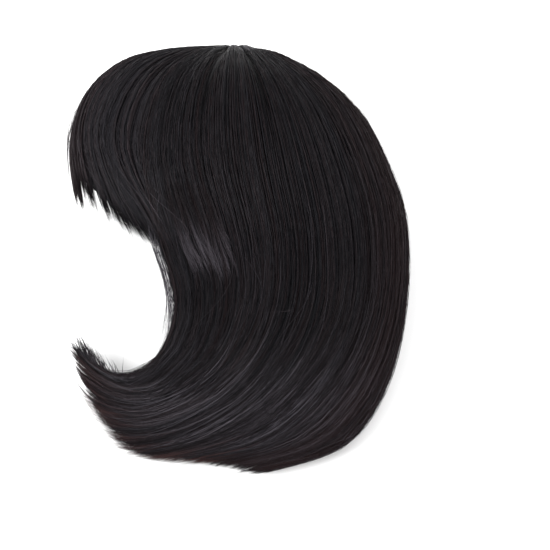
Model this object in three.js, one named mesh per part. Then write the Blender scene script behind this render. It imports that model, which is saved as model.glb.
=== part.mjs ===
// A chin-length bob wig with a full fringe, lying on its right side on a table.
// Units are millimetres. +Z is up from the table, +Y points to the crown, +X to the back of the head.
// The wig is a thin closed cap that carries five pieces of hair: the crown patch, the fringe, the two
// side curtains and the back. Each is a curved wall of locks that ends in separate points.

import * as THREE from 'three'

// Overall sizes of the hair
const GAP = 0.5 // clearance between neighbouring pieces of hair
const CAP_CLEARANCE = 1.3 // from the cap's corners to the hair's inside: their flat faces come closer
const CAP_WALL = 2
const SETTLE = 9 // how gently the underside runs out flat on the table, which is at height 0
const LOCK_RELIEF = 2.6 // depth of the valley between two locks
const ROOT_RELIEF = 0.25 // share of that depth that shows at the crown already
const LEAST_WALL = 1.2 // thickness left under a valley
const TIP_THINNING = 0.7 // share of the wall that is cut away at the tips
const TIP_UNEVENNESS = 0.6 // how far uneven tips fall short, as a share of their notch

// Every strand runs down from the crown at one turn round the head, in degrees: 0 is the middle of the
// fringe, 90 the middle of the left side, 180 the middle of the back and 270 the middle of the right side.
const FACE_TURN = 55 // where the fringe meets the side hair
const REAR_TURN = 128 // where the side hair meets the back hair
const COLUMN_TURNS = { front: 0, face: FACE_TURN, side: 90, rear: REAR_TURN, back: 180 }
const ROUNDNESS = 0.8 // below 1 the sections are fuller than an ellipse

// One row for each section across the hair, from the crown to the tips.
// along: share of the strand's length. front to back: x, y of the strand at that turn, seen from above.
// mid: height of the fold between the two sides. rise and fall: how far the hair stands above and sags
// below it. slip: how far the underside has slid up towards the crown. wall: thickness of the hair.
// lean: degrees by which the surface faces the crown. Below the fringe the front column only guides.
const SECTIONS = [
  { along: 0.0, front: [-18, 140], face: [-11, 138.5], side: [-3, 138], rear: [5, 138.5], back: [9, 139],
    mid: 46, rise: 10, fall: 10, slip: 0, wall: 8, lean: 80 },
  { along: 0.07, front: [-49, 135], face: [-28, 125], side: [-1, 122], rear: [17, 124], back: [32, 130],
    mid: 46, rise: 30, fall: 29, slip: 2, wall: 10, lean: 55 },
  { along: 0.16, front: [-79, 125], face: [-45, 102], side: [1, 96], rear: [33, 99], back: [61, 110],
    mid: 46, rise: 48, fall: 50, slip: 6, wall: 11, lean: 37 },
  { along: 0.26, front: [-101, 102], face: [-55, 72], side: [3, 65], rear: [47, 69], back: [83, 85],
    mid: 46, rise: 58, fall: 60, slip: 14, wall: 12, lean: 20 },
  { along: 0.38, front: [-110, 65], face: [-58, 34], side: [7, 24], rear: [59, 30], back: [99, 49],
    mid: 46, rise: 60, fall: 64, slip: 24, wall: 12, lean: 8 },
  { along: 0.5, front: [-103, 22], face: [-49, -7], side: [14, -14], rear: [67, -6], back: [109, 14],
    mid: 42, rise: 52, fall: 60, slip: 30, wall: 11, lean: 0 },
  { along: 0.63, front: [-85, -27], face: [-38, -43], side: [13, -51], rear: [67, -46], back: [108, -38],
    mid: 32, rise: 36, fall: 48, slip: 22, wall: 9, lean: 0 },
  { along: 0.78, front: [-95, -63], face: [-52, -75], side: [-6, -89], rear: [49, -91], back: [94, -91],
    mid: 20, rise: 21, fall: 34, slip: 9, wall: 7, lean: 0 },
  { along: 0.89, front: [-119, -57], face: [-79, -81], side: [-41, -111], rear: [19, -121], back: [67, -125],
    mid: 14, rise: 13, fall: 28, slip: 4, wall: 6, lean: 0 },
  { along: 1.0, front: [-136, -35], face: [-116, -53], side: [-81, -124], rear: [-22, -136], back: [12, -142],
    mid: 9, rise: 7, fall: 22, slip: 0, wall: 4, lean: 0 },
]

// Where the net cap ends, from the brow round over the ear to the nape, as a share of the strand.
const CAP_EDGE = [
  { turn: 0, along: 0.31 },
  { turn: FACE_TURN, along: 0.43 },
  { turn: 90, along: 0.47 },
  { turn: REAR_TURN, along: 0.54 },
  { turn: 180, along: 0.6 },
]

// The pieces of hair, from one turn to another. end and edgeEnd: where the tips lie in the middle and at
// the edges, as a share of the strand. notch: how far the gaps between the points reach up the strand.
const HAIR = [
  { name: 'fringe', from: -FACE_TURN, to: FACE_TURN,
    locks: 12, rows: 9, end: 0.46, edgeEnd: 0.52, notch: 0.045 },
  { name: 'left_side_hair', from: FACE_TURN, to: REAR_TURN,
    locks: 9, rows: 15, end: 1, edgeEnd: 1, notch: 0.06 },
  { name: 'back_hair', from: REAR_TURN, to: 360 - REAR_TURN,
    locks: 11, rows: 15, end: 1, edgeEnd: 1, notch: 0.06 },
  { name: 'right_side_hair', from: 360 - REAR_TURN, to: 360 - FACE_TURN,
    locks: 9, rows: 15, end: 1, edgeEnd: 1, notch: 0.06 },
]

// How finely the surfaces are divided
const COLUMNS_PER_LOCK = 4
const CAP_COLUMNS = 48
const CAP_ROWS = 11
const CAP_START = 0.02 // share of the strand at the cap's first row
const ROW_CROWDING = 1.2 // above 1, rows lie closer together at the crown, where the hair bends most

// The crown patch
const PATCH_COLUMNS = 16
const PATCH_RINGS = 2
const PATCH_CENTRE = -4 // x
const PATCH_BULGE = 1.5

const hairMaterial = new THREE.MeshStandardMaterial({ color: 0x1f1d1f, roughness: 0.42, metalness: 0 })
const patchMaterial = new THREE.MeshStandardMaterial({ color: 0x2a2729, roughness: 0.6, metalness: 0 })
const capMaterial = new THREE.MeshStandardMaterial({ color: 0x161517, roughness: 0.85, metalness: 0 })

// A smooth curve through the given knots, with each knot's slope taken from its two neighbours.
function through(knots, values, x) {
  const last = knots.length - 1
  let i = 0
  while (i < last - 1 && x > knots[i + 1]) i++
  const slope = (k) => {
    const a = Math.max(k - 1, 0)
    const b = Math.min(k + 1, last)
    return (values[b] - values[a]) / (knots[b] - knots[a])
  }
  const span = knots[i + 1] - knots[i]
  const s = (x - knots[i]) / span
  const s2 = s * s
  const s3 = s2 * s
  return (2 * s3 - 3 * s2 + 1) * values[i] + (s3 - 2 * s2 + s) * span * slope(i)
    + (3 * s2 - 2 * s3) * values[i + 1] + (s3 - s2) * span * slope(i + 1)
}

const SECTION_ALONG = SECTIONS.map((row) => row.along)
const column = (name, along) => through(SECTION_ALONG, SECTIONS.map((row) => row[name]), along)
const columnXY = (name, axis, along) => through(SECTION_ALONG, SECTIONS.map((row) => row[name][axis]), along)

const radians = THREE.MathUtils.degToRad
const across = (turn) => (1 - Math.cos(radians(turn))) / 2 // 0 at the fringe's fold, 1 at the back's
const COLUMN_NAMES = Object.keys(COLUMN_TURNS)
const COLUMN_ACROSS = COLUMN_NAMES.map((name) => across(COLUMN_TURNS[name]))

// Height of a point that hangs at height z where the table holds it up: a smooth bend, then flat.
function onTable(z) {
  if (z > SETTLE) return z
  if (z < -SETTLE) return 0
  return (z + SETTLE) ** 2 / (4 * SETTLE)
}

// Point of the hair at a turn and a share of the strand. hollow lifts the underside where two locks
// meet, and depth goes in from the surface, towards the head.
function hairPoint(turn, along, hollow, depth) {
  const lean = radians(column('lean', along))
  const sink = hollow + depth
  const inset = sink * Math.cos(lean)
  const chord = columnXY('back', 0, along) - columnXY('front', 0, along)
  const narrowed = inset / chord + across(turn) * (1 - (2 * inset) / chord)
  const x = through(COLUMN_ACROSS, COLUMN_NAMES.map((name) => columnXY(name, 0, along)), narrowed)
  const y = through(COLUMN_ACROSS, COLUMN_NAMES.map((name) => columnXY(name, 1, along)), narrowed)
  const swing = Math.sin(radians(turn))
  const fullness = Math.abs(swing) ** ROUNDNESS
  const mid = column('mid', along)
  const z = swing >= 0
    ? mid + Math.max(column('rise', along) - inset, 0) * fullness
    : onTable(mid - (column('fall', along) - hollow * Math.cos(lean)) * fullness)
      + depth * Math.cos(lean) * fullness
  const slip = swing >= 0 ? 0 : column('slip', along) * fullness
  return new THREE.Vector3(x, y - sink * Math.sin(lean) + slip, z)
}

// A closed mesh from an outer and an inner grid of points, each grid[row][column], joined at their rims.
// closed joins the last column to the first, and capped closes the first row with one middle point.
function shell(outer, inner, { closed = false, capped = false } = {}) {
  const rows = outer.length
  const columns = outer[0].length
  const positions = []
  const triangles = []
  const put = (p) => positions.push(p.x, p.y, p.z) / 3 - 1
  const outerIds = outer.map((row) => row.map(put))
  const innerIds = inner.map((row) => row.map(put))
  const quad = (a, b, c, d) => triangles.push(a, b, c, a, c, d)
  const wide = closed ? columns : columns - 1
  const next = (c) => (c + 1) % columns
  for (let r = 0; r < rows - 1; r++) {
    for (let c = 0; c < wide; c++) {
      quad(outerIds[r][c], outerIds[r + 1][c], outerIds[r + 1][next(c)], outerIds[r][next(c)])
      quad(innerIds[r][c], innerIds[r][next(c)], innerIds[r + 1][next(c)], innerIds[r + 1][c])
    }
    if (!closed) {
      const e = columns - 1
      quad(outerIds[r][0], innerIds[r][0], innerIds[r + 1][0], outerIds[r + 1][0])
      quad(outerIds[r][e], outerIds[r + 1][e], innerIds[r + 1][e], innerIds[r][e])
    }
  }
  for (let c = 0; c < wide; c++) {
    const n = next(c)
    quad(outerIds[rows - 1][c], innerIds[rows - 1][c], innerIds[rows - 1][n], outerIds[rows - 1][n])
    if (!capped) quad(outerIds[0][c], outerIds[0][n], innerIds[0][n], innerIds[0][c])
  }
  if (capped) {
    const middle = (row) => row.reduce((sum, p) => sum.add(p), new THREE.Vector3()).divideScalar(columns)
    const top = put(middle(outer[0]))
    const under = put(middle(inner[0]))
    for (let c = 0; c < wide; c++) {
      triangles.push(top, outerIds[0][c], outerIds[0][next(c)])
      triangles.push(under, innerIds[0][next(c)], innerIds[0][c])
    }
  }
  const geometry = new THREE.BufferGeometry()
  geometry.setAttribute('position', new THREE.Float32BufferAttribute(positions, 3))
  geometry.setIndex(triangles)
  geometry.computeVertexNormals()
  return geometry
}

// A small fixed unevenness from 0 to 1 for each lock, so that no two neighbours end alike.
const unevenness = (lock) => (Math.sin(lock * 2.4 + 1) + Math.sin(lock * 5.1)) / 4 + 0.5

// One piece of hair: a curved wall with a rounded ridge for each lock, ending in points.
function hairPiece({ from, to, locks, rows, end, edgeEnd, notch }) {
  const columns = locks * COLUMNS_PER_LOCK
  const middle = (from + to) / 2
  const outer = []
  const inner = []
  for (let r = 0; r <= rows; r++) {
    const down = (r / rows) ** ROW_CROWDING
    const outerRow = []
    const innerRow = []
    for (let c = 0; c <= columns; c++) {
      const turn = from + ((to - from) * c) / columns
      const inLock = (c % COLUMNS_PER_LOCK) / COLUMNS_PER_LOCK
      const ridge = Math.sin(Math.PI * inLock)
      const sideShare = Math.abs(turn - middle) / ((to - from) / 2)
      const tip = end + (edgeEnd - end) * sideShare
      const lock = Math.floor(c / COLUMNS_PER_LOCK)
      const shortfall = notch * (1 - ridge) + notch * TIP_UNEVENNESS * ridge * unevenness(lock)
      const along = tip * down - shortfall * down ** 4
      const valley = LOCK_RELIEF * (1 - ridge) * Math.min(ROOT_RELIEF + along, 1)
      const wall = Math.max(column('wall', along) * (1 - TIP_THINNING * down ** 6), valley + LEAST_WALL)
      outerRow.push(hairPoint(turn, along, valley, 0))
      innerRow.push(hairPoint(turn, along, 0, wall))
    }
    outer.push(outerRow)
    inner.push(innerRow)
  }
  drawInEdges(outer)
  drawInEdges(inner)
  return shell(outer, inner)
}

// Moves the first and last point of each row, and its whole first row, in by half the gap.
function drawInEdges(grid) {
  const nudge = (p, towards) => p.add(towards.clone().sub(p).setLength(GAP / 2))
  for (const row of grid) {
    nudge(row[0], row[1])
    nudge(row[row.length - 1], row[row.length - 2])
  }
  grid[0].forEach((p, c) => nudge(p, grid[1][c]))
}

// The oval patch at the crown where all the hair starts: a shallow dome that fills the first section.
function crownPatch() {
  const drawnIn = 1 - GAP / 2 / SECTIONS[0].rise
  const ring = (share, depth) => Array.from({ length: PATCH_COLUMNS }, (_, c) => {
    const edge = hairPoint((360 * c) / PATCH_COLUMNS, 0, 0, depth)
    const centre = new THREE.Vector3(PATCH_CENTRE, edge.y, SECTIONS[0].mid)
    const bulge = new THREE.Vector3(0, PATCH_BULGE * (1 - share * share), 0)
    return centre.lerp(edge, share * drawnIn).add(bulge)
  })
  const shares = Array.from({ length: PATCH_RINGS }, (_, r) => (r + 1) / PATCH_RINGS)
  const outer = shares.map((share) => ring(share, 0))
  const inner = shares.map((share) => ring(share, SECTIONS[0].wall))
  return shell(outer, inner, { closed: true, capped: true })
}

// The net cap under the hair, open towards the face and neck.
function netCap() {
  const edge = (turn) => {
    const half = turn > 180 ? 360 - turn : turn
    return through(CAP_EDGE.map((row) => row.turn), CAP_EDGE.map((row) => row.along), half)
  }
  const layer = (extra) => Array.from({ length: CAP_ROWS + 1 }, (_, r) => (
    Array.from({ length: CAP_COLUMNS }, (_, c) => {
      const turn = (360 * c) / CAP_COLUMNS
      const along = CAP_START + (edge(turn) - CAP_START) * (r / CAP_ROWS) ** ROW_CROWDING
      return hairPoint(turn, along, 0, column('wall', along) + extra)
    })
  ))
  return shell(layer(CAP_CLEARANCE), layer(CAP_CLEARANCE + CAP_WALL), { closed: true, capped: true })
}

function named(name, geometry, material) {
  const mesh = new THREE.Mesh(geometry, material)
  mesh.name = name
  return mesh
}

const wig = new THREE.Group()
wig.add(named('cap', netCap(), capMaterial))
wig.add(named('crown_patch', crownPatch(), patchMaterial))
for (const piece of HAIR) wig.add(named(piece.name, hairPiece(piece), hairMaterial))

export default wig
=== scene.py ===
# A chin-length bob wig of near-black synthetic hair with a full fringe, lying on its right side.
# The hair is laid strand by strand over a darker bed of hair, on a net cap with sewn tracks of hair.
# The script works in metres, and MM turns a size in millimetres into them.
import math

import bpy
import numpy as np
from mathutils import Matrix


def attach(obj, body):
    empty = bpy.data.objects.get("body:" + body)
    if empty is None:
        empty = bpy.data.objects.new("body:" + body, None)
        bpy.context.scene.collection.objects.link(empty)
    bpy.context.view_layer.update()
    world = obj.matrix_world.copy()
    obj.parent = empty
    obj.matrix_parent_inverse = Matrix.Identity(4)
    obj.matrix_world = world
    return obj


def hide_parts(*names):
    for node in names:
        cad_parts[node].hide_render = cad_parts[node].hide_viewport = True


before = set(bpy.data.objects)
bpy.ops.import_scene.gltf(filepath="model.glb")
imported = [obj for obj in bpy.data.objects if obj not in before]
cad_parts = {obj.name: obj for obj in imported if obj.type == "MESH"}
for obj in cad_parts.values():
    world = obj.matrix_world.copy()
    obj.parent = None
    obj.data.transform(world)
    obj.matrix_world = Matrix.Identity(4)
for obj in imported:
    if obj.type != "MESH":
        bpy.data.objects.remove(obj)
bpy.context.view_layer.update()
MM = 0.001

# Net cap
# The real cap is a black knitted net, open at the face and the neck. It is modelled as a sheet of
# lozenges that a Wireframe modifier turns into threads, and it lies just inside the hair.

# How every strand lies, from the crown to the tips. along: share of the strand's length. front to back:
# x and y of the strand at that turn round the head. mid: height of the fold between the upper and the
# lower side. rise and fall: how far the hair stands above and sags below it. slip: how far the lower
# side has slid towards the crown. wall: thickness of the hair. lean: degrees it faces the crown.
SECTIONS = [
    dict(along=0.0, front=(-18, 140), face=(-11, 138.5), side=(-3, 138), rear=(5, 138.5), back=(9, 139),
         mid=46, rise=10, fall=10, slip=0, wall=8, lean=80),
    dict(along=0.07, front=(-49, 135), face=(-28, 125), side=(-1, 122), rear=(17, 124), back=(32, 130),
         mid=46, rise=30, fall=29, slip=2, wall=10, lean=55),
    dict(along=0.16, front=(-79, 125), face=(-45, 102), side=(1, 96), rear=(33, 99), back=(61, 110),
         mid=46, rise=48, fall=50, slip=6, wall=11, lean=37),
    dict(along=0.26, front=(-101, 102), face=(-55, 72), side=(3, 65), rear=(47, 69), back=(83, 85),
         mid=46, rise=58, fall=60, slip=14, wall=12, lean=20),
    dict(along=0.38, front=(-110, 65), face=(-58, 34), side=(7, 24), rear=(59, 30), back=(99, 49),
         mid=46, rise=60, fall=64, slip=24, wall=12, lean=8),
    dict(along=0.5, front=(-103, 22), face=(-49, -7), side=(14, -14), rear=(67, -6), back=(109, 14),
         mid=42, rise=52, fall=60, slip=30, wall=11, lean=0),
    dict(along=0.63, front=(-85, -27), face=(-38, -43), side=(13, -51), rear=(67, -46), back=(108, -38),
         mid=32, rise=36, fall=48, slip=22, wall=9, lean=0),
    dict(along=0.78, front=(-95, -63), face=(-52, -75), side=(-6, -89), rear=(49, -91), back=(94, -91),
         mid=20, rise=21, fall=34, slip=9, wall=7, lean=0),
    dict(along=0.89, front=(-119, -57), face=(-79, -81), side=(-41, -111), rear=(19, -121), back=(67, -125),
         mid=14, rise=13, fall=28, slip=4, wall=6, lean=0),
    dict(along=1.0, front=(-136, -35), face=(-116, -53), side=(-81, -124), rear=(-22, -136), back=(12, -142),
         mid=9, rise=7, fall=22, slip=0, wall=4, lean=0),
]
SECTION_ALONG = [row["along"] for row in SECTIONS]
FACE_TURN = 55  # degrees round the head from the middle of the fringe to where the side hair starts
REAR_TURN = 128  # and to where the back hair starts
COLUMNS = {"front": 0, "face": FACE_TURN, "side": 90, "rear": REAR_TURN, "back": 180}
ROUNDNESS = 0.8  # 1 gives an oval cross-section, less a fuller one
SETTLE = 9  # mm above the table where the lower side starts to bend until it lies flat


def across(turn):
    """0 at the fold of the fringe and 1 at the fold of the back."""
    return (1 - np.cos(np.radians(turn))) / 2


def through(knots, values, x):
    """A smooth curve through the knots. values holds one row for all x, or one row for each."""
    knots = np.asarray(knots, float)
    values = np.atleast_2d(np.asarray(values, float))
    slopes = np.empty_like(values)
    slopes[:, 1:-1] = (values[:, 2:] - values[:, :-2]) / (knots[2:] - knots[:-2])
    slopes[:, 0] = (values[:, 1] - values[:, 0]) / (knots[1] - knots[0])
    slopes[:, -1] = (values[:, -1] - values[:, -2]) / (knots[-1] - knots[-2])
    i = np.clip(np.searchsorted(knots, x) - 1, 0, len(knots) - 2)
    row = np.arange(len(x)) if len(values) > 1 else np.zeros(len(x), int)
    span = knots[i + 1] - knots[i]
    s = (x - knots[i]) / span
    s2 = s * s
    s3 = s2 * s
    return ((2 * s3 - 3 * s2 + 1) * values[row, i] + (s3 - 2 * s2 + s) * span * slopes[row, i]
            + (3 * s2 - 2 * s3) * values[row, i + 1] + (s3 - s2) * span * slopes[row, i + 1])


def section(name, along):
    return through(SECTION_ALONG, [row[name] for row in SECTIONS], along)


def on_table(z):
    """Height of hair that would hang at height z: a smooth bend, then flat on the table."""
    return np.where(z > SETTLE, z, np.where(z < -SETTLE, 0, (z + SETTLE) ** 2 / (4 * SETTLE)))


def hair_point(turn, along, depth):
    """Points of the hair in metres, at turns round the head, shares of the strand and depths in mm."""
    turn, along, depth = np.broadcast_arrays(turn, along, depth)
    shape = turn.shape
    turn, along, depth = turn.ravel() % 360, along.ravel(), depth.ravel().astype(float)
    lean = np.radians(section("lean", along))
    inset = depth * np.cos(lean)
    knots = across(np.array(list(COLUMNS.values())))
    rows = [np.stack([through(SECTION_ALONG, [row[name][axis] for row in SECTIONS], along)
                      for name in COLUMNS], axis=1) for axis in (0, 1)]
    chord = rows[0][:, -1] - rows[0][:, 0]
    narrowed = inset / chord + across(turn) * (1 - 2 * inset / chord)
    x = through(knots, rows[0], narrowed)
    y = through(knots, rows[1], narrowed)
    upper = turn <= 180
    fullness = np.abs(np.sin(np.radians(turn))) ** ROUNDNESS
    mid = section("mid", along)
    above = mid + np.maximum(section("rise", along) - inset, 0) * fullness
    below = on_table(mid - section("fall", along) * fullness) + inset * fullness
    y = y - depth * np.sin(lean) + np.where(upper, 0, section("slip", along) * fullness)
    return np.stack([x, y, np.where(upper, above, below)], axis=-1).reshape(shape + (3,)) * MM


def linear(colour):
    """A hex colour, as seen on a screen, as the linear RGBA that the shaders take."""
    channels = [int(colour[i:i + 2], 16) / 255 for i in (1, 3, 5)]
    return [c / 12.92 if c <= 0.04045 else ((c + 0.055) / 1.055) ** 2.4 for c in channels] + [1.0]


def new_material(name):
    material = bpy.data.materials.new(name)
    material.use_nodes = True
    material.node_tree.nodes.clear()
    return material


def add_node(material, kind, inputs, **settings):
    """Adds one node. inputs are numbers, colours or other nodes' sockets, settings its properties."""
    made = material.node_tree.nodes.new(kind)
    for key, value in settings.items():
        setattr(made, key, value)
    for key, value in inputs.items():
        if isinstance(value, bpy.types.NodeSocket):
            material.node_tree.links.new(value, made.inputs[key])
        else:
            made.inputs[key].default_value = value
    return made


def finish_material(material, **inputs):
    """Ends a material with its one shader, whose sockets are named with underscores for spaces."""
    named = {key.replace("_", " "): value for key, value in inputs.items()}
    shader = add_node(material, "ShaderNodeBsdfPrincipled", named)
    add_node(material, "ShaderNodeOutputMaterial", {"Surface": shader.outputs["BSDF"]})
    return material


def start_piece(name, columns, rows):
    """A flat grid of one unit, whose x and y are then laid on the head."""
    bpy.ops.object.select_all(action="DESELECT")
    bpy.ops.mesh.primitive_grid_add(x_subdivisions=columns, y_subdivisions=rows, size=1)
    piece = bpy.context.object
    piece.name = name
    piece.data.name = name
    return piece


def read_points(piece):
    points = np.empty(len(piece.data.vertices) * 3)
    piece.data.vertices.foreach_get("co", points)
    return points.reshape(-1, 3)


def write_points(piece, points):
    piece.data.vertices.foreach_set("co", np.asarray(points, float).ravel())
    piece.data.update()


def apply_modifier(piece, kind, **settings):
    modifier = piece.modifiers.new(kind.lower(), kind)
    for key, value in settings.items():
        setattr(modifier, key, value)
    bpy.context.view_layer.objects.active = piece
    bpy.ops.object.modifier_apply(modifier=modifier.name)


def face_outwards(piece):
    """Joins points that coincide, as where a sheet meets itself, and turns all faces outwards."""
    bpy.ops.object.select_all(action="DESELECT")
    piece.select_set(True)
    bpy.context.view_layer.objects.active = piece
    bpy.ops.object.mode_set(mode="EDIT")
    bpy.ops.mesh.select_all(action="SELECT")
    bpy.ops.mesh.remove_doubles(threshold=0.00001)
    bpy.ops.mesh.normals_make_consistent(inside=False)
    bpy.ops.object.mode_set(mode="OBJECT")


def finish_piece(piece, material):
    """Gives a piece its material, slot and body."""
    piece.data.materials.clear()
    piece.data.materials.append(material)
    piece.data.polygons.foreach_set("use_smooth", [True] * len(piece.data.polygons))
    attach(piece, "root")
    return piece


CAP_EDGE_TURNS = [0, FACE_TURN, 90, REAR_TURN, 180]
CAP_EDGE_ALONG = [0.31, 0.43, 0.47, 0.54, 0.6]
CAP_START = 0.02
CAP_DEPTH = 2.3  # mm from the hair's inside to the middle of the net


def cap_edge(turn):
    """Where the cap ends, as a share of the strand."""
    half = np.minimum(turn % 360, 360 - turn % 360)
    return through(CAP_EDGE_TURNS, CAP_EDGE_ALONG, half)


def on_cap(turn, down, extra=0.0):
    """Points on the cap: down runs from 0 at the crown to 1 at the cap's edge."""
    along = CAP_START + (cap_edge(turn) - CAP_START) * down
    return hair_point(turn, along, section("wall", along) + CAP_DEPTH + extra)


# Knitted nylon is dull, and a little paler where the fluff of the thread stands up.
elastic_net = new_material("knitted nylon net, black and matt")
FLUFF_SIZE = 1.11 * MM
thread_noise = add_node(elastic_net, "ShaderNodeTexNoise", {"Scale": 1 / FLUFF_SIZE, "Detail": 3.0})
net_colour = add_node(elastic_net, "ShaderNodeMix", {
    "Factor": thread_noise.outputs["Fac"],
    "A": linear("#121114"),
    "B": linear("#26242a")}, data_type="RGBA")
finish_material(elastic_net, Base_Color=net_colour.outputs["Result"], Roughness=0.8)

NET_COLUMNS = 88  # lozenges round the head, about 6 mm wide
NET_ROWS = 30
NET_THREAD = 0.55 * MM
net = start_piece("cap_net", NET_COLUMNS, NET_ROWS)
flat = read_points(net)
row_number = np.round((flat[:, 1] + 0.5) * NET_ROWS)
stagger = 0.5 / NET_COLUMNS * (row_number % 2)
net_turn = (flat[:, 0] + 0.5 + stagger) * 360
write_points(net, on_cap(net_turn, flat[:, 1] + 0.5))
face_outwards(net)
apply_modifier(net, "WIREFRAME", thickness=NET_THREAD, use_even_offset=False)
finish_piece(net, elastic_net)
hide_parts("cap")

# Sewn tracks and binding
# The hair comes sewn along folded strips of cloth, stitched round the net in rows. A wide elastic
# binding is folded over the edge of the net.
TRACK_ROWS = [0.16, 0.28, 0.40, 0.51, 0.61, 0.71, 0.81, 0.90]  # shares of the way from crown to edge
TRACK = dict(half_height=0.012, extra=-0.75, thickness=0.7)
BINDING = dict(middle=0.965, half_height=0.035, extra=0.0, thickness=1.6)
BAND_COLUMNS = 120
BAND_ROWS = 3


def band(name, middle, half_height, extra, thickness):
    """A strip of cloth right round the cap. middle and half_height are shares of the way down it, extra
    is how many mm deeper than the net it lies, and thickness is in mm."""
    piece = start_piece(name, BAND_COLUMNS, BAND_ROWS)
    flat = read_points(piece) + 0.5
    write_points(piece, on_cap(flat[:, 0] * 360, middle + half_height * (2 * flat[:, 1] - 1), extra))
    face_outwards(piece)
    apply_modifier(piece, "SOLIDIFY", thickness=thickness * MM, offset=0)
    face_outwards(piece)
    return piece


# Folded polyester strip is matt, with the fine grain of its weave.
woven_strip = new_material("folded polyester strip, black")
WEAVE_GRAIN = 0.667 * MM
strip_noise = add_node(woven_strip, "ShaderNodeTexNoise", {"Scale": 1 / WEAVE_GRAIN, "Detail": 2.0})
strip_colour = add_node(woven_strip, "ShaderNodeMix", {
    "Factor": strip_noise.outputs["Fac"],
    "A": linear("#0c0b0d"),
    "B": linear("#1e1c20")}, data_type="RGBA")
finish_material(woven_strip, Base_Color=strip_colour.outputs["Result"], Roughness=0.85)
tracks = [band(f"track_{row}", down, **TRACK) for row, down in enumerate(TRACK_ROWS)]
bpy.ops.object.select_all(action="DESELECT")
for track in tracks:
    track.select_set(True)
bpy.context.view_layer.objects.active = tracks[0]
bpy.ops.object.join()
tracks[0].name = "sewn_tracks"
finish_piece(tracks[0], woven_strip)
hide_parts("cap")

# Woven elastic is matt and has fine ribs, which break up what light falls on it.
ribbed_elastic = new_material("ribbed elastic binding, black")
RIB_SPACING = 1.208 * MM
RIB_HEIGHT = 0.3 * MM
WAVES = 20 / math.tau  # how often a wave texture of scale 1 repeats in each metre
elastic_place = add_node(ribbed_elastic, "ShaderNodeTexCoord", {})
elastic_ribs = add_node(ribbed_elastic, "ShaderNodeTexWave", {
    "Vector": elastic_place.outputs["Object"], "Scale": 1 / (RIB_SPACING * WAVES), "Distortion": 1.0})
elastic_bump = add_node(ribbed_elastic, "ShaderNodeBump", {
    "Height": elastic_ribs.outputs["Fac"], "Strength": 0.5, "Distance": RIB_HEIGHT})
finish_material(ribbed_elastic, Base_Color=linear("#151417"), Roughness=0.8,
                Normal=elastic_bump.outputs["Normal"])
binding = band("edge_binding", **BINDING)
finish_piece(binding, ribbed_elastic)
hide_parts("cap")

# Crown patch
# The real patch is a small oval of fine dark mesh at the crown, through which the first strands are
# tied. It is a flattened dome, and the hair over it springs from its far side.
CROWN_CENTRE = np.array([-4, 136.8, 46]) * MM
CROWN_RADII = np.array([12.6, 2.6, 9.2]) * MM
bpy.ops.object.select_all(action="DESELECT")
bpy.ops.mesh.primitive_uv_sphere_add(segments=40, ring_count=20, radius=1)
patch = bpy.context.object
patch.name = "crown_mesh_patch"
write_points(patch, read_points(patch) * CROWN_RADII + CROWN_CENTRE)
# Fine nylon mesh is matt, and its small holes make it look lightly speckled.
mesh_cloth = new_material("fine nylon mesh, dark and matt")
MESH_PITCH = 0.91 * MM
mesh_holes = add_node(mesh_cloth, "ShaderNodeTexVoronoi", {"Scale": 1 / MESH_PITCH})
mesh_shade = add_node(mesh_cloth, "ShaderNodeMix", {
    "Factor": mesh_holes.outputs["Distance"],
    "A": linear("#0b0a0b"),
    "B": linear("#1b191a")}, data_type="RGBA")
finish_material(mesh_cloth, Base_Color=mesh_shade.outputs["Result"], Roughness=0.8)
finish_piece(patch, mesh_cloth)
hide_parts("crown_patch")

# Bed of hair
# Under the loose outer strands lies the bulk of the hair, packed so close that it reads as one dark
# streaked mass. Each part of the hair has a sheet of it, which ends well before the tips.

# How far round the head a strand drifts on its way, for the turn at which it starts: its tip sweeps
# forwards into a hook, the side hair leans back below the temple, and the brow runs into the side hair.
TIP_DRIFT = {-360: 0, 55: 0, 62: -4, 80: -15, 100: -25, 128: -28, 150: -24, 180: -18, 205: -11, 232: -4,
             250: 0}
TIP_DRIFT_START = 0.6  # share of the strand
SIDE_DRIFT_SPAN = (0.3, 0.6)  # shares of the strand over which it drifts
BROW_DRIFT_SPAN = (0.32, 0.56)
SIDE_DRIFT = {55: 0, 62: 3, 75: 4.5, 90: 2, 110: 0}
BROW_DRIFT = {-60: -6, -54: -8, -47: -13, -40: -16, -32: -12, -24: -6, -8: 0, 8: 0, 24: 6, 32: 12, 40: 16,
              47: 13, 54: 8, 60: 6}
TRIM = {55: 0.065, 62: 0.035, 70: 0.01, 78: 0}  # the hair along the face is cut shorter, by this share
CURL_START = 0.75  # from here a strand bends round until it runs along the tips of its neighbours
CURL_REACH = 0.238


def smooth(x):
    x = np.clip(x, 0, 1)
    return x * x * (3 - 2 * x)


def rise(share, first, last=1.0):
    """Goes smoothly from 0 at the first share to 1 at the last."""
    return smooth((share - first) / (last - first))


def drift(table, start):
    return np.interp(start, list(table), list(table.values()))


def combed(start, share, brow=False, curl=1.0):
    """Turn round the head of a strand that starts at a turn, at a share of its length."""
    if brow:
        aside = drift(BROW_DRIFT, start) * rise(share, *BROW_DRIFT_SPAN)
    else:
        aside = drift(SIDE_DRIFT, start) * rise(share, *SIDE_DRIFT_SPAN)
    tip = np.clip((share - TIP_DRIFT_START) / (1 - TIP_DRIFT_START), 0, 1) ** 2
    return start + aside + curl * drift(TIP_DRIFT, start) * tip


def settled(share):
    """How far down the hair a strand has got, which slows down as its tip curls."""
    curl = np.clip((share - CURL_START) / (1 - CURL_START), 0, 1)
    return np.where(share > CURL_START, CURL_START + CURL_REACH * np.sin(np.pi / 2 * curl), share)


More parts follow.
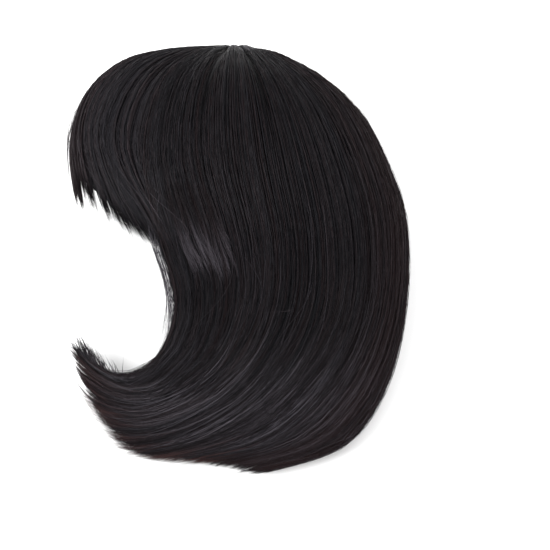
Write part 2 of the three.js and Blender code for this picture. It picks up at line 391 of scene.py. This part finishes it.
# Packed fibre is near black and dull, with long streaks where it lies a little looser or tighter.
packed_hair = new_material("packed synthetic fibre, near black")
HAIR_GIRTH = 630 * MM  # round the fullest part, which the first axis of the map goes round once
STRAND_LENGTH = 330 * MM  # from the crown to the tips, which its second axis goes along once
STREAK_WIDTH = 1.5 * MM
STREAK_LENGTH = 110 * MM
STREAK_RELIEF = 0.6 * MM
bed_place = add_node(packed_hair, "ShaderNodeUVMap", {}, uv_map="lay")
bed_stretch = add_node(packed_hair, "ShaderNodeMapping", {
    "Vector": bed_place.outputs["UV"],
    "Scale": (HAIR_GIRTH / STREAK_WIDTH, STRAND_LENGTH / STREAK_LENGTH, 1.0)})
bed_streaks = add_node(packed_hair, "ShaderNodeTexNoise", {
    "Vector": bed_stretch.outputs["Vector"], "Scale": 1.0, "Detail": 4.0})
bed_colour = add_node(packed_hair, "ShaderNodeMix", {
    "Factor": bed_streaks.outputs["Fac"],
    "A": linear("#060607"),
    "B": linear("#151316")}, data_type="RGBA")
bed_bump = add_node(packed_hair, "ShaderNodeBump", {
    "Height": bed_streaks.outputs["Fac"], "Strength": 0.7, "Distance": STREAK_RELIEF})
finish_material(packed_hair, Base_Color=bed_colour.outputs["Result"], Roughness=0.55,
                Specular_IOR_Level=0.1, Normal=bed_bump.outputs["Normal"])

BED_DEPTH = 3.6  # mm
BED_WALL = 1.6
BED_SPARE = 0.4  # mm between the sheet and the inside of the hair
BED_START = 0.004  # share of the strand
BED_COLUMNS = 56
BED_ROWS = 36
BED_SPREAD_END = 0.32  # the fringe's sheet is wider from the crown to here, so that it meets the sides
SIDE_TURN = FACE_TURN + 3
SIDE_END = (0.84, 0.84)
BEDS = [
    dict(name="fringe_bed", node="fringe", turns=(-FACE_TURN, FACE_TURN), ends=(0.427, 0.566), brow=True,
         spread=0.075),
    dict(name="left_side_bed", node="left_side_hair", turns=(SIDE_TURN, REAR_TURN), ends=SIDE_END,
         brow=False, spread=0),
    dict(name="back_bed", node="back_hair", turns=(REAR_TURN, 360 - REAR_TURN), ends=SIDE_END,
         brow=False, spread=0),
    dict(name="right_side_bed", node="right_side_hair", turns=(360 - REAR_TURN, 360 - SIDE_TURN),
         ends=SIDE_END, brow=False, spread=0),
]
for bed in BEDS:
    first, last = bed["turns"]
    sheet = start_piece(bed["name"], BED_COLUMNS, BED_ROWS)
    flat = read_points(sheet) + 0.5
    edge_share = np.abs(2 * flat[:, 0] - 1)
    bed_end = bed["ends"][0] + (bed["ends"][1] - bed["ends"][0]) * edge_share ** 2
    bed_along = BED_START + (bed_end - BED_START) * flat[:, 1]
    widened = 1 + bed["spread"] * (1 - smooth(bed_along / BED_SPREAD_END))
    bed_turn = (first + last) / 2 + (last - first) * (flat[:, 0] - 0.5) * widened
    down = settled(bed_along)
    deep = np.minimum(BED_DEPTH, section("wall", down) - BED_WALL - BED_SPARE)
    write_points(sheet, hair_point(combed(bed_turn, bed_along, bed["brow"]), down, deep))
    lay_map = sheet.data.uv_layers.new(name="lay")
    corner_points = np.empty(len(sheet.data.loops), int)
    sheet.data.loops.foreach_get("vertex_index", corner_points)
    lay_map.data.foreach_set("uv", np.stack([bed_turn / 360, bed_along], 1)[corner_points].ravel())
    apply_modifier(sheet, "SOLIDIFY", thickness=BED_WALL * MM, offset=1)
    face_outwards(sheet)
    finish_piece(sheet, packed_hair)
    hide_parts(bed["node"])

# Strands
# Each strand is a fine closed fibre with three sides that tapers to its tip. Strands are combed into
# locks: they start apart and draw together towards the lock's own line.
STEPS = 14
SIDES = 3
FIBRE = 0.19  # radius in mm, some five times that of a real fibre, which is too fine to show
THINNER, THICKER = 0.65, 1.3  # range of the fibres' radius, as shares of it
ROOT_REACH = 0.03  # how far in over the crown patch the first strands start, as a share of the strand
ROOT_MEETING = 0.9  # how near they come to its middle
ROOT_HEIGHT = 3.3 * MM  # where they meet, above the middle of the patch
ROOT_ARCH = 0.9 * MM
FLOOR_CLEARANCE = 0.35 * MM
LIGHTEST_TONE = 1.4
SHINE_SHARE = 0.82  # the hair is painted paler in a band where it bends, a painted sheen, this share of the way down
SHINE_WIDTH = 0.076
PARTINGS = [(76, 2.2), (103, 2.4)]  # turn and half width of the two partings near the crown, which are sunk and painted darker
PARTING_DEPTH = 4.5  # mm
# how much darker the strands in the partings are painted, a painted shade
PARTING_SHADE = 0.9
PARTING_END = 0.32
NO_LENGTH = 1e-12  # keeps a division from failing


def lay(turn, along, depth):
    """Like hair_point, but above its start a strand runs in over the crown patch."""
    points = hair_point(turn, np.maximum(along, 0), depth)
    inward = np.clip(-along / ROOT_REACH, 0, 1)[..., None] * ROOT_MEETING
    over_patch = CROWN_CENTRE + np.array([0, ROOT_HEIGHT, 0])
    points = points + (over_patch - points) * inward
    points[..., 1] += ROOT_ARCH * np.sin(np.pi * inward[..., 0])
    points[..., 2] = np.maximum(points[..., 2], FLOOR_CLEARANCE)
    return points


def wander(rng, waves, x):
    """A smooth random number for every x, the sum of a few waves of given lengths in degrees."""
    return sum(np.sin(2 * np.pi * (x / wave + rng.random())) for wave in waves) / len(waves)


def round_rings(values):
    """Values along each strand, repeated for the corners of each ring and once for the tip."""
    return np.append(np.repeat(values[:, :-1], SIDES, axis=1), values[:, -1:], axis=1)


def unit(vectors):
    return vectors / (np.linalg.norm(vectors, axis=-1, keepdims=True) + NO_LENGTH)


def fibre_faces(steps):
    """The four-cornered faces of one strand, and the triangles of its tip and its root."""
    ring = [(k, (k + 1) % SIDES) for k in range(SIDES)]
    quads = [(SIDES * j + k, SIDES * j + after, SIDES * (j + 1) + after, SIDES * (j + 1) + k)
             for j in range(steps - 2) for k, after in ring]
    last = SIDES * (steps - 2)
    return quads, [(last + k, last + after, last + SIDES) for k, after in ring] + [(2, 1, 0)]


def fibres(name, paths, radius, tone, warmth, blunt):
    """A joined mesh of one closed three-sided fibre for each path. Its colour attribute holds how light
    the strand is, how brown, and the share of the way down it."""
    strands, steps = paths.shape[:2]
    tangent = unit(np.gradient(paths, axis=1))
    nearly_up = (0.02, 0.03, 1.0)  # no strand runs exactly this way
    sideways = unit(np.cross(tangent, nearly_up))
    upward = np.cross(tangent, sideways)
    share = np.linspace(0, 1, steps)
    taper = (1 - (1 - blunt) * rise(share, 0.55)) * (0.6 + 0.4 * rise(share, 0, 0.1))
    size = (radius[:, None] * taper[None, :] * MM)[:, :-1, None]
    corners = []
    for corner in range(SIDES):
        angle = (2 * np.pi * corner / SIDES + np.arange(strands) * 1.7)[:, None, None]
        outward = np.cos(angle) * sideways[:, :-1] + np.sin(angle) * upward[:, :-1]
        corners.append(paths[:, :-1] + size * outward)
    rings = np.stack(corners, axis=2).reshape(strands, (steps - 1) * SIDES, 3)
    points = np.concatenate([rings, paths[:, -1:]], axis=1)
    per_strand = points.shape[1]

    quads, triangles = fibre_faces(steps)
    base = (np.arange(strands) * per_strand)[:, None, None]
    quad_corners = (base + np.array(quads)[None]).reshape(-1)
    triangle_corners = (base + np.array(triangles)[None]).reshape(-1)
    quad_count = strands * len(quads)
    triangle_count = strands * len(triangles)
    mesh = bpy.data.meshes.new(name)
    mesh.vertices.add(strands * per_strand)
    mesh.vertices.foreach_set("co", points.ravel())
    mesh.loops.add(len(quad_corners) + len(triangle_corners))
    mesh.loops.foreach_set("vertex_index", np.concatenate([quad_corners, triangle_corners]))
    mesh.polygons.add(quad_count + triangle_count)
    starts = np.concatenate([np.arange(quad_count) * 4, quad_count * 4 + np.arange(triangle_count) * 3])
    mesh.polygons.foreach_set("loop_start", starts)
    mesh.update(calc_edges=True)

    colours = np.ones((strands, per_strand, 4), np.float32)
    colours[..., 0] = round_rings(np.clip(tone / LIGHTEST_TONE, 0, 1) ** 2)
    colours[..., 1] = round_rings(np.clip(warmth, 0, 1))
    colours[..., 2] = np.append(np.repeat(share[:-1], SIDES), 1.0)[None]
    attribute = mesh.color_attributes.new("strand", "FLOAT_COLOR", "POINT")
    attribute.data.foreach_set("color", colours.ravel())
    piece = bpy.data.objects.new(name, mesh)
    bpy.context.scene.collection.objects.link(piece)
    return finish_piece(piece, hair_fibre)


# Synthetic fibre is drawn smooth and dyed in the mass: near black, with a soft shine, and a brown cast that
# is partly its own colour and partly painted where light comes through it. The roots where it leaves the
# crown are painted paler, a painted highlight where the hair bends over the crown.
hair_fibre = new_material("heat-resistant synthetic hair fibre, brownish black")
strand_data = add_node(hair_fibre, "ShaderNodeAttribute", {}, attribute_name="strand")
strand_parts = add_node(hair_fibre, "ShaderNodeSeparateColor", {"Color": strand_data.outputs["Color"]})
lightness = strand_parts.outputs["Red"]
brownness = strand_parts.outputs["Green"]
way_down = strand_parts.outputs["Blue"]
cool_shade = add_node(hair_fibre, "ShaderNodeMix", {
    "Factor": lightness, "A": linear("#040407"), "B": linear("#5b575e")}, data_type="RGBA")
warm_shade = add_node(hair_fibre, "ShaderNodeMix", {
    "Factor": brownness, "A": cool_shade.outputs["Result"], "B": linear("#402b2a")}, data_type="RGBA")
# painted highlight: the first 3% of each strand is mixed towards a pale root colour, paler on lighter
# strands
root_highlight_share = add_node(hair_fibre, "ShaderNodeMapRange", {
    "Value": way_down, "From Min": 0.0, "From Max": 0.03, "To Min": 1.0, "To Max": 0.0})
root_highlight_strength = add_node(hair_fibre, "ShaderNodeMapRange", {
    "Value": lightness, "From Min": 0.01, "From Max": 0.13, "To Min": 0.0, "To Max": 1.0})
root_highlight_colour = add_node(hair_fibre, "ShaderNodeMix", {
    "Factor": root_highlight_strength.outputs["Result"], "A": linear("#1a181b"), "B": linear("#716c74")}, data_type="RGBA")
colour_with_root_highlight = add_node(hair_fibre, "ShaderNodeMix", {
    "Factor": root_highlight_share.outputs["Result"],
    "A": warm_shade.outputs["Result"],
    "B": root_highlight_colour.outputs["Result"]}, data_type="RGBA")
fibre_gloss = add_node(hair_fibre, "ShaderNodeMapRange", {
    "Value": lightness, "From Max": 0.5, "To Min": 0.5, "To Max": 0.36})
finish_material(hair_fibre, Base_Color=colour_with_root_highlight.outputs["Result"], Specular_IOR_Level=0.1,
                Roughness=fibre_gloss.outputs["Result"])

# Where the fibre shows its brown: at the folds over the forehead and down the back of the head. The brown is
# partly the fibre's own colour and partly painted light coming through the thin hair.
WARM_TURNS = {-30: 0, 0: 0.25, 30: 0, 135: 0, 155: 0.14, 200: 0.14, 230: 0}
LOCK_TONE_SPREAD = 0.07
STRAND_TONE_SPREAD = 0.1
WARMTH_SPREAD = 0.04
GLINT = dict(lock=0.16, strand=0.4)  # how much lighter the few light locks and strands are
CONTRAST = (0.4, 1.4)  # how much strands differ in tone, over the head and at the tips
TUFT_TURNS = (26, 36)  # the fringe falls in tufts as far out as the first, and in no tufts past the second
TUFT_POINT = 0.06
TUFT_PULL = 0.6
TUFT_RAGGED = 0.008


def grow(name, seed, strands, locks, turns, ends, depths, ragged=0.02, gather=0.36, sway=0.8, stray=0.5,
         crowned=0.4, starts=(0, 0.35), radius=FIBRE, tone=(0.28, 0.05), glints=0.08, warmth=0.03,
         warm_tips=0.0, shine=1.0, tufts=0, brow=False, inside=False, bow=0.0, curl=1.0, flick=(0, 0, 0),
         blunt=0.3, steps=STEPS):
    """Combs one part of the hair and makes its strands. turns (in degrees round the head) and depths (in
    mm) are ranges, ends are the middle's and the edges' shares of the full length, starts the range of
    shares where strands start that aren't crowned, and tone is the root's and the tip's."""
    rng = np.random.default_rng(seed)
    width = turns[1] - turns[0]
    grid = np.linspace(*turns, 200)
    crowding = np.cumsum(0.55 + 0.45 * np.abs(np.sin(np.radians(grid))))
    crowding = (crowding - crowding[0]) / (crowding[-1] - crowding[0])
    lock_turn = np.interp((np.arange(locks) + rng.random(locks)) / locks, crowding, grid)
    lock_width = 0.6 * width / locks * (1 + 2.0 * rng.random(locks))
    lock_depth = depths[0] + (depths[1] - depths[0]) * rng.random(locks) ** 1.5
    lock_end = rng.normal(0, ragged, locks)
    lock_sway = rng.normal(0, sway, locks)
    lock_phase = rng.random(locks)
    lock_tone = rng.normal(0, LOCK_TONE_SPREAD, locks) + 0.05 * wander(rng, (5.1, 9.7, 17.3), lock_turn)
    lock_tone = lock_tone + GLINT["lock"] * (rng.random(locks) < glints)
    lock_warmth = rng.normal(warmth, WARMTH_SPREAD, locks) + drift(WARM_TURNS, lock_turn)

    # each strand's lock, its start and its end
    lock = rng.integers(locks, size=strands)
    own_turn = lock_turn[lock]
    steady = np.linspace(0, 1, steps)[None, :] ** rng.uniform(0.88, 1.12, strands)[:, None]
    from_crown = rng.random(strands) < crowned
    crown_start = -ROOT_REACH * rng.random(strands)
    start = np.where(from_crown, crown_start, rng.uniform(*starts, strands))[:, None]
    off_middle = np.abs(own_turn - (turns[0] + turns[1]) / 2) / (width / 2)
    straight = 1 - rise(np.abs(own_turn), *TUFT_TURNS) if tufts else 1.0
    uneven = (lock_end[lock] + rng.normal(0, ragged * 0.6, strands)) * (0.4 + 0.6 * straight)
    end = ends[0] + (ends[1] - ends[0]) * off_middle ** 2 + uneven
    if ends[0] > CURL_START:
        end = end - drift(TRIM, own_turn)
    tuft_aside = np.zeros(strands)
    if tufts:
        place = (own_turn - turns[0]) / width * tufts
        tuft = np.clip(place.astype(int), 0, tufts - 1)
        centre = tuft + rng.uniform(0.3, 0.7, tufts)[tuft]
        tuft_aside = (turns[0] + centre / tufts * width - own_turn) * straight
        tuft_end = rng.normal(0, TUFT_RAGGED, tufts)[tuft]
        end = end + (tuft_end - TUFT_POINT * (place - centre) ** 2) * straight
    share = start + (np.minimum(end, 1.0)[:, None] - start) * steady
    along = settled(share)

    # round the head
    offset = rng.normal(0, 0.6, strands)
    gathered = 1 - gather * smooth(steady)
    turn = own_turn[:, None] + (offset * lock_width[lock])[:, None] * gathered
    wave = np.sin(2 * np.pi * (0.7 * steady + lock_phase[lock][:, None])) * steady
    turn = turn + lock_sway[lock][:, None] * wave
    turn = turn + rng.normal(0, stray, strands)[:, None] * (steady - 0.3)
    turn = turn + bow * np.sin(np.pi * steady)
    turn = turn + tuft_aside[:, None] * TUFT_PULL * rise(steady, 0.72)

    # into the thickness of the hair
    depth = lock_depth[lock][:, None] + 0.6 * (offset ** 2)[:, None] + rng.normal(0, 0.12, strands)[:, None]
    spread = 1 + 0.6 * (1 - smooth(along / 0.12))
    parted = sum(np.exp(-((turn - parting) / (half * spread)) ** 2) for parting, half in PARTINGS)
    parted = parted * (1 - smooth(along / PARTING_END))
    depth = depth + PARTING_DEPTH * parted
    depth = np.maximum(depth, min(depths[0], 0.12))
    wall = section("wall", np.clip(along, 0, 1).ravel()).reshape(along.shape)
    depth = np.minimum(depth, wall * 0.92)
    if inside:
        depth = wall - depth
    else:
        buried = (1 - smooth(steady / 0.22)) * np.where(from_crown, 0, 0.85)[:, None]
        depth = depth + (wall - depth) * buried
    paths = lay(combed(turn, share, brow, curl), along, depth)
    flicked = rng.uniform(0.2, 1.2, locks)[lock] * rng.uniform(0.7, 1.1, strands)
    lift = rise(steady, 0.55)[..., None] ** 2
    paths = paths + (np.array(flick) * MM * flicked[:, None])[:, None] * lift
    paths[..., 2] = np.maximum(paths[..., 2], FLOOR_CLEARANCE)

    # size and tone
    sizes = radius * rng.uniform(THINNER, THICKER, strands)
    strand_tone = lock_tone[lock] + rng.normal(0, STRAND_TONE_SPREAD, strands)
    strand_tone = strand_tone + GLINT["strand"] * (rng.random(strands) < glints)
    contrast = CONTRAST[0] + (CONTRAST[1] - CONTRAST[0]) * rise(share, 0.55, 0.85)
    # painted sheen: some strands are painted paler in a band near SHINE_SHARE, for the shine where the hair
    # bends
    painted_sheen = shine * rng.random(strands) ** 3
    painted_sheen_at = SHINE_SHARE + rng.normal(0, 0.035, locks)[lock] + rng.normal(0, 0.02, strands)
    tones = strand_tone[:, None] * contrast + tone[0] + (tone[1] - tone[0]) * smooth(steady) ** 2
    # painted shade: strands in the partings are made darker
    tones = tones - PARTING_SHADE * parted
    tones = tones + painted_sheen[:, None] * np.exp(-((share - painted_sheen_at[:, None]) / SHINE_WIDTH) ** 2)
    strand_warmth = lock_warmth[lock] + rng.normal(0, WARMTH_SPREAD, strands)
    # warm_tips paints the tips browner: partly the fibre's own brown, partly painted light coming through
    # the thin tips
    warm = strand_warmth[:, None] + warm_tips * rise(share, 0.82, 0.97)
    return fibres(name, paths, sizes, tones, warm, blunt)


# Back hair
# The hair over the back of the head and the nape. It is straight synthetic fibre, sewn to the tracks in
# thin rows, combed down from the crown and bent forwards at the tips with heat.
grow("back_strands", seed=11, strands=2450, locks=360, turns=(REAR_TURN - 3, 363 - REAR_TURN),
     ends=(0.97, 0.97), depths=(0.15, 2.3), warm_tips=0.12)

# Right side hair
# The side the wig lies on, of the same fibre sewn to the same tracks. Its weight presses it flat against
# the surface.
grow("right_side_strands", seed=12, strands=1520, locks=200, turns=(357 - REAR_TURN, 360 - FACE_TURN),
     ends=(0.98, 0.98), depths=(0.3, 2.6), warm_tips=0.2)

# Left side hair
# The side that is up, of the same fibre. It runs over the temple and down beside the cheek, and its tips
# are bent forwards with heat.
grow("left_side_strands", seed=13, strands=2550, locks=420, turns=(FACE_TURN - 0.5, REAR_TURN + 3),
     ends=(0.972, 0.98), depths=(0.1, 2.3), warm_tips=0.12)

# Edge of the side hair
# A thin fall of fibre along the face, sewn to the front end of the tracks. Light comes through it.
grow("face_edge_strands", seed=18, strands=260, locks=16, turns=(FACE_TURN, FACE_TURN + 5),
     ends=(0.98, 0.97), depths=(0.2, 4.0), ragged=0.012, sway=0.3, stray=0.3, gather=0.2)

# Short side locks
# A few locks are cut shorter so that they end beside the cheek. Their tips kick out and catch the light, and
# are painted paler towards the tips as well, a painted highlight.
SHORT_LOCK = dict(glints=0.2, crowned=0.0, gather=0.5, warmth=0.08, steps=12)
grow("short_side_locks", seed=16, strands=190, locks=13, turns=(61, 75), ends=(0.55, 0.535),
     depths=(-0.35, 0.5), ragged=0.02, tone=(0.0, 1.25), starts=(0.36, 0.42), flick=(4.0, -2.0, 1.5),
     radius=0.1, stray=0.7, **SHORT_LOCK)
grow("long_side_lock", seed=32, strands=14, locks=1, turns=(75.5, 76.5), ends=(0.555, 0.555),
     depths=(-0.6, -0.5), ragged=0.008, tone=(0.3, 0.95), starts=(0.38, 0.42), flick=(7.0, -3.0, 1.5),
     radius=0.085, stray=0.5, **{**SHORT_LOCK, "glints": 0.0})

# Locks at the bend
# Upper locks of the lower half, which lie loose over the others. They are set with heat where the hair
# bends forwards, and their shine there is a painted sheen: a band of paler strands.
grow("bend_locks", seed=17, strands=480, locks=120, turns=(82, 168), ends=(0.93, 0.93),
     depths=(-0.2, 0.4), ragged=0.05, tone=(0.1, 0.15), glints=0.1, shine=1.1, crowned=0.0,
     starts=(0.5, 0.68), radius=0.14, sway=1.8, stray=3.0, steps=12)

# Crossing locks
# Fine locks of the same fibre that bend less than the rest, so they lie across the others near the tips.
grow("crossing_locks", seed=19, strands=300, locks=60, turns=(74, 165), ends=(0.955, 0.93),
     depths=(-0.3, 0.3), ragged=0.03, tone=(0.1, 0.2), glints=0.15, shine=1.3, crowned=0.0,
     starts=(0.64, 0.76), radius=0.11, sway=1.2, stray=3.0, gather=0.3, curl=0.7, steps=12)

# Inner strands
# The undersides of the same rows of hair, seen through the opening for the face and from the neck. They
# are dark and hang straight below the net.
grow("inner_strands", seed=14, strands=1200, locks=110, turns=(FACE_TURN, 360 - FACE_TURN),
     ends=(0.975, 0.975), depths=(0.2, 1.8), inside=True, crowned=0.0, starts=(0, 0.6), radius=0.24,
     steps=12)

# Fringe
# Hair sewn to the front of the cap and cut short over the brow. It falls in pointed tufts in the middle,
# and its ends sweep down into the side hair.
# The fringe is painted paler than the rest and stays pale to its tips, a painted lightness for the light on
# the front.
grow("fringe_strands", seed=15, strands=2500, locks=260, turns=(-FACE_TURN + 1, FACE_TURN - 1),
     ends=(0.468, 0.58), depths=(0.1, 2.8), ragged=0.008, starts=(0, 0.2), brow=True, tone=(0.39, 0.37),
     tufts=19, blunt=0.65, glints=0.03, steps=12)

# Loose hairs
# A few fine hairs have worked loose, as on any brushed wig: along the face, at the tips, round the
# outline and across the locks.
# The short hairs at the crown are painted pale, a painted highlight where the hair bends over the crown.
grow("crown_roots", seed=30, strands=60, locks=40, turns=(70, 116), ends=(0.05, 0.05),
     depths=(-0.9, 0.0), ragged=0.012, stray=4.0, crowned=0.0, starts=(-0.012, 0.012), radius=0.12,
     tone=(1.0, 1.3), steps=8)
grow("face_wisps", seed=21, strands=70, locks=24, turns=(53.5, 56.5), ends=(0.70, 0.73),
     depths=(0.0, 0.6), ragged=0.03, stray=0.8, bow=-2.2, crowned=0.0, starts=(0.42, 0.52), radius=0.085,
     tone=(0.9, 0.9), steps=10)
grow("hook_wisps", seed=22, strands=300, locks=13, turns=(55, 58.5), ends=(0.935, 0.975),
     depths=(0.2, 1.5), ragged=0.03, stray=0.5, gather=0.95, crowned=0.0, starts=(0.78, 0.86),
     radius=0.3, tone=(0.15, 0.2), flick=(-0.5, 12.0, 1.0), steps=8)
TIP_LOCK = dict(ends=(0.985, 0.985), crowned=0.0, radius=0.17, warm_tips=0.3, steps=10)
grow("hook_side_lock", seed=25, strands=260, locks=16, turns=(60, 84), depths=(0.3, 2.5), ragged=0.012,
     gather=0.5, starts=(0.62, 0.75), tone=(0.25, 0.3), flick=(-5.0, 8.0, 0.0), blunt=0.6, **TIP_LOCK)
grow("hook_outer_lock", seed=29, strands=60, locks=4, turns=(86, 95), depths=(0.8, 2.0), ragged=0.01,
     gather=0.9, starts=(0.7, 0.8), tone=(0.2, 0.3), flick=(-9.0, 11.0, 0.0), **TIP_LOCK)
# The outermost tips are painted strongly brown, partly their own colour and partly painted light coming
# through them.
grow("edge_tips", seed=27, strands=330, locks=90, turns=(84, 150), ends=(0.99, 0.99), depths=(0.2, 3.0),
     ragged=0.02, stray=2.0, crowned=0.0, starts=(0.7, 0.82), radius=0.14, tone=(0.35, 0.45),
     warm_tips=0.9, flick=(-4.0, -2.5, 0.0), steps=10)
grow("nape_tips", seed=28, strands=110, locks=14, turns=(170, 215), ends=(0.99, 0.99),
     depths=(0.3, 3.0), ragged=0.02, stray=1.0, gather=0.85, crowned=0.0, starts=(0.75, 0.82),
     radius=0.16, tone=(0.2, 0.3), flick=(-9.0, -1.0, 0.0), steps=10)
grow("outline_wisps", seed=23, strands=140, locks=90, turns=(135, 228), ends=(0.85, 0.97),
     depths=(-0.8, 0.1), ragged=0.08, stray=2.5, crowned=0.05, starts=(0.05, 0.7), radius=0.1,
     tone=(0.5, 0.5))
grow("fringe_wisps", seed=26, strands=36, locks=30, turns=(-16, 16), ends=(0.44, 0.455),
     depths=(-1.6, 0.1), ragged=0.03, stray=3.0, crowned=0.0, starts=(0.2, 0.34), radius=0.09,
     tone=(0.6, 0.6), steps=10)
grow("fringe_crossing_hairs", seed=31, strands=14, locks=14, turns=(4, 56), ends=(0.5, 0.54),
     depths=(-0.5, 0.0), ragged=0.03, stray=9.0, sway=7.0, crowned=0.0, starts=(0.3, 0.44), radius=0.07,
     tone=(1.0, 1.0), brow=True, steps=12)
grow("crossing_hairs", seed=24, strands=44, locks=44, turns=(58, 150), ends=(0.85, 0.9),
     depths=(-0.4, 0.0), ragged=0.12, stray=7.0, sway=6.0, crowned=0.0, starts=(0.3, 0.75), radius=0.075,
     tone=(0.8, 0.8))

# Studio
# The wig lies on a seamless white surface under soft light from all round, with one large lamp from the
# left and a weaker one from behind on the right. The camera looks nearly straight down.
FLOOR_SIZE = 6.0
bpy.ops.object.select_all(action="DESELECT")
bpy.ops.mesh.primitive_plane_add(size=FLOOR_SIZE, location=(0, 0, 0))
floor = bpy.context.object
floor.name = "floor"
# White paper is matt and gives back nearly all light, so only the softest shadow shows on it.
floor_paint = new_material("matt white paper")
finish_material(floor_paint, Base_Color=linear("#fafafa"), Roughness=0.9)
floor.data.materials.append(floor_paint)

SKY_STRENGTH = 1.2
sky = bpy.data.worlds.new("soft white surroundings")
bpy.context.scene.world = sky
sky.use_nodes = True
background = sky.node_tree.nodes["Background"]
background.inputs["Color"].default_value = linear("#ffffff")
background.inputs["Strength"].default_value = SKY_STRENGTH
LAMPS = [
    dict(name="softbox_left", place=(-0.95, -0.15, 0.95), power=22.0, size=0.8),
    dict(name="softbox_rear_right", place=(0.6, 0.7, 1.3), power=9.0, size=1.0),
]
for lamp in LAMPS:
    bpy.ops.object.light_add(type="AREA", location=lamp["place"])
    light = bpy.context.object
    light.name = lamp["name"]
    light.data.energy = lamp["power"]
    light.data.size = lamp["size"]
    aim = np.array(lamp["place"]) / np.linalg.norm(lamp["place"])
    light.rotation_euler = (math.acos(aim[2]), 0, math.atan2(aim[0], -aim[1]))
bpy.context.scene.view_settings.view_transform = "Standard"

SIGHT = math.radians(19)  # the camera's tilt from straight down
SIGHT_DISTANCE = 0.9
SIGHT_FLOOR = (0.024, -0.005)  # the point of the floor in the middle of the picture
SENSOR_WIDTH = 36  # mm, as is the focal length
FOCAL_LENGTH = 87.97
back_from_floor = SIGHT_DISTANCE * math.sin(SIGHT)
above_floor = SIGHT_DISTANCE * math.cos(SIGHT)
bpy.ops.object.camera_add(location=(SIGHT_FLOOR[0], SIGHT_FLOOR[1] - back_from_floor, above_floor),
                          rotation=(SIGHT, 0, 0))
camera = bpy.context.object
camera.data.sensor_width = SENSOR_WIDTH
camera.data.lens = FOCAL_LENGTH
bpy.context.scene.camera = camera
